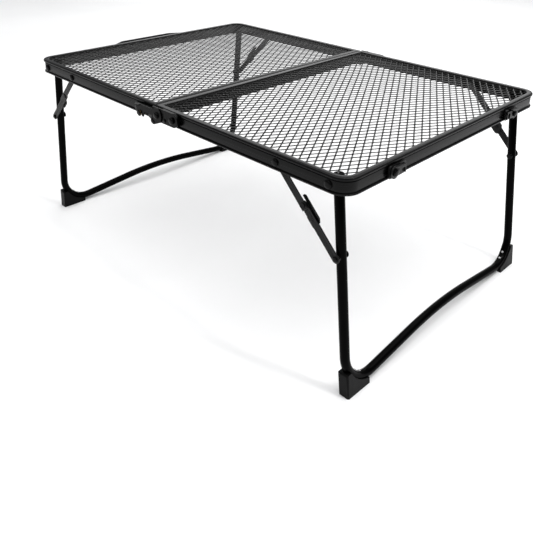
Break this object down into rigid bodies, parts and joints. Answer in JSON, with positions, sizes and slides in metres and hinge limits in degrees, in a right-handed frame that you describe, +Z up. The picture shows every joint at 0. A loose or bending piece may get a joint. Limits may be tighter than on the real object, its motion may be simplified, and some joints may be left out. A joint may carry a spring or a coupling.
{
  "type": "folding side table",
  "caption": "Low folding camping table with a hinged expanded-metal top, U-shaped tube legs on folding braces, lock hooks, end latches and a carrying handle.",
  "frame": {"origin": "on the floor, under the middle of the table", "axes": "+X along the table from the handle end to the latch end, +Y from the front long side to the back one, +Z up"},
  "size_m": [0.6287, 0.4242, 0.26],
  "materials": {
    "rail_paint": "dark grey satin powder coat",
    "mesh_paint": "satin black powder coat on expanded steel",
    "tube_paint": "gloss black paint",
    "link_paint": "semi-gloss black paint",
    "hinge_plate": "semi-gloss black paint",
    "latch_plate": "semi-gloss black paint",
    "rivet": "black coated steel",
    "stud_brass": "plain turned brass",
    "handle_plastic": "matte black moulded",
    "shoe_plastic": "matte black moulded"
  },
  "bodies": {
    "left_half": {"left_rail_frame": "rail_paint", "left_mesh_panel": "mesh_paint", "left_hinge_leaves": "hinge_plate", "hinge_pins": "rivet", "left_hinge_rivets": "rivet", "catch_studs": "stud_brass", "catch_pins": "rivet", "carry_handle": "handle_plastic", "handle_rivets": "rivet", "left_leg_pivots": "rivet", "left_brace_rail_pivots": "rivet"},
    "right_half": {"right_rail_frame": "rail_paint", "right_mesh_panel": "mesh_paint", "right_hinge_leaves": "hinge_plate", "right_hinge_rivets": "rivet", "hook_pivots": "rivet", "latch_bases": "latch_plate", "latch_pivots": "rivet", "right_leg_pivots": "rivet", "right_brace_rail_pivots": "rivet"},
    "left_legs": {"left_leg_frame": "tube_paint", "left_foot_shoes": "shoe_plastic", "left_brace_leg_pins": "rivet"},
    "left_front_upper_brace": {"left_front_upper_link": "link_paint", "left_front_brace_joint_head": "rivet"},
    "left_front_lower_brace": {"left_front_lower_link": "link_paint", "left_front_lower_link_rivets": "rivet"},
    "left_front_spring_catch": {"left_front_brace_catch": "link_paint"},
    "left_back_upper_brace": {"left_back_upper_link": "link_paint", "left_back_brace_joint_head": "rivet"},
    "left_back_lower_brace": {"left_back_lower_link": "link_paint", "left_back_lower_link_rivets": "rivet"},
    "left_back_spring_catch": {"left_back_brace_catch": "link_paint"},
    "right_legs": {"right_leg_frame": "tube_paint", "right_foot_shoes": "shoe_plastic", "right_brace_leg_pins": "rivet"},
    "right_front_upper_brace": {"right_front_upper_link": "link_paint", "right_front_brace_joint_head": "rivet"},
    "right_front_lower_brace": {"right_front_lower_link": "link_paint", "right_front_lower_link_rivets": "rivet"},
    "right_front_spring_catch": {"right_front_brace_catch": "link_paint"},
    "right_back_upper_brace": {"right_back_upper_link": "link_paint", "right_back_brace_joint_head": "rivet"},
    "right_back_lower_brace": {"right_back_lower_link": "link_paint", "right_back_lower_link_rivets": "rivet"},
    "right_back_spring_catch": {"right_back_brace_catch": "link_paint"},
    "front_hook": {"front_lock_hook": "hinge_plate"},
    "front_end_latch": {"front_latch": "latch_plate"},
    "back_hook": {"back_lock_hook": "hinge_plate"},
    "back_end_latch": {"back_latch": "latch_plate"}
  },
  "joints": [
    {"name": "centre_fold", "type": "hinge", "parent": "left_half", "child": "right_half", "pos_m": [0, 0, 0.2407], "axis": [0, 1, 0], "range_deg": [0, 95]},
    {"name": "left_leg_fold", "type": "hinge", "parent": "left_half", "child": "left_legs", "pos_m": [-0.2765, 0, 0.249], "axis": [0, -1, 0], "range_deg": [0, 97]},
    {"name": "left_front_upper_brace_turn", "type": "hinge", "parent": "left_half", "child": "left_front_upper_brace", "pos_m": [-0.2055, -0.1975, 0.249], "axis": [0, 1, 0], "range_deg": [0, 45.2]},
    {"name": "left_front_lower_brace_turn", "type": "hinge", "parent": "left_legs", "child": "left_front_lower_brace", "pos_m": [-0.28649, -0.1956, 0.16761], "axis": [0, -1, 0], "range_deg": [0, 37.9]},
    {"name": "left_front_catch_press", "type": "hinge", "parent": "left_front_lower_brace", "child": "left_front_spring_catch", "pos_m": [-0.25503, -0.1939, 0.19923], "axis": [0, -1, 0], "range_deg": [0, 12], "stiffness_Nm_per_rad": 0.04, "springref_deg": -11.46},
    {"name": "left_back_upper_brace_turn", "type": "hinge", "parent": "left_half", "child": "left_back_upper_brace", "pos_m": [-0.2055, 0.1975, 0.249], "axis": [0, 1, 0], "range_deg": [0, 45.2]},
    {"name": "left_back_lower_brace_turn", "type": "hinge", "parent": "left_legs", "child": "left_back_lower_brace", "pos_m": [-0.28649, 0.1956, 0.16761], "axis": [0, -1, 0], "range_deg": [0, 37.9]},
    {"name": "left_back_catch_press", "type": "hinge", "parent": "left_back_lower_brace", "child": "left_back_spring_catch", "pos_m": [-0.25503, 0.1939, 0.19923], "axis": [0, -1, 0], "range_deg": [0, 12], "stiffness_Nm_per_rad": 0.04, "springref_deg": -11.46},
    {"name": "right_leg_fold", "type": "hinge", "parent": "right_half", "child": "right_legs", "pos_m": [0.2765, 0, 0.249], "axis": [0, 1, 0], "range_deg": [0, 97]},
    {"name": "right_front_upper_brace_turn", "type": "hinge", "parent": "right_half", "child": "right_front_upper_brace", "pos_m": [0.2055, -0.1975, 0.249], "axis": [0, -1, 0], "range_deg": [0, 45.2]},
    {"name": "right_front_lower_brace_turn", "type": "hinge", "parent": "right_legs", "child": "right_front_lower_brace", "pos_m": [0.28649, -0.1956, 0.16761], "axis": [0, 1, 0], "range_deg": [0, 37.9]},
    {"name": "right_front_catch_press", "type": "hinge", "parent": "right_front_lower_brace", "child": "right_front_spring_catch", "pos_m": [0.25503, -0.1939, 0.19923], "axis": [0, 1, 0], "range_deg": [0, 12], "stiffness_Nm_per_rad": 0.04, "springref_deg": -11.46},
    {"name": "right_back_upper_brace_turn", "type": "hinge", "parent": "right_half", "child": "right_back_upper_brace", "pos_m": [0.2055, 0.1975, 0.249], "axis": [0, -1, 0], "range_deg": [0, 45.2]},
    {"name": "right_back_lower_brace_turn", "type": "hinge", "parent": "right_legs", "child": "right_back_lower_brace", "pos_m": [0.28649, 0.1956, 0.16761], "axis": [0, 1, 0], "range_deg": [0, 37.9]},
    {"name": "right_back_catch_press", "type": "hinge", "parent": "right_back_lower_brace", "child": "right_back_spring_catch", "pos_m": [0.25503, 0.1939, 0.19923], "axis": [0, 1, 0], "range_deg": [0, 12], "stiffness_Nm_per_rad": 0.04, "springref_deg": -11.46},
    {"name": "front_hook_lift", "type": "hinge", "parent": "right_half", "child": "front_hook", "pos_m": [0.01, -0.2077, 0.25], "axis": [0, 1, 0], "range_deg": [0, 100]},
    {"name": "front_latch_swing", "type": "hinge", "parent": "right_half", "child": "front_end_latch", "pos_m": [0.3032, -0.13, 0.248], "axis": [-1, 0, 0], "range_deg": [0, 90]},
    {"name": "back_hook_lift", "type": "hinge", "parent": "right_half", "child": "back_hook", "pos_m": [0.01, 0.2077, 0.25], "axis": [0, 1, 0], "range_deg": [0, 100]},
    {"name": "back_latch_swing", "type": "hinge", "parent": "right_half", "child": "back_end_latch", "pos_m": [0.3032, 0.13, 0.248], "axis": [1, 0, 0], "range_deg": [0, 90]}
  ],
  "couplings": [
    {"joint": "left_front_upper_brace_turn", "follows": "left_leg_fold", "ratio": 0.46536},
    {"joint": "left_front_lower_brace_turn", "follows": "left_leg_fold", "ratio": 0.39031},
    {"joint": "left_back_upper_brace_turn", "follows": "left_leg_fold", "ratio": 0.46536},
    {"joint": "left_back_lower_brace_turn", "follows": "left_leg_fold", "ratio": 0.39031},
    {"joint": "right_front_upper_brace_turn", "follows": "right_leg_fold", "ratio": 0.46536},
    {"joint": "right_front_lower_brace_turn", "follows": "right_leg_fold", "ratio": 0.39031},
    {"joint": "right_back_upper_brace_turn", "follows": "right_leg_fold", "ratio": 0.46536},
    {"joint": "right_back_lower_brace_turn", "follows": "right_leg_fold", "ratio": 0.39031}
  ]
}
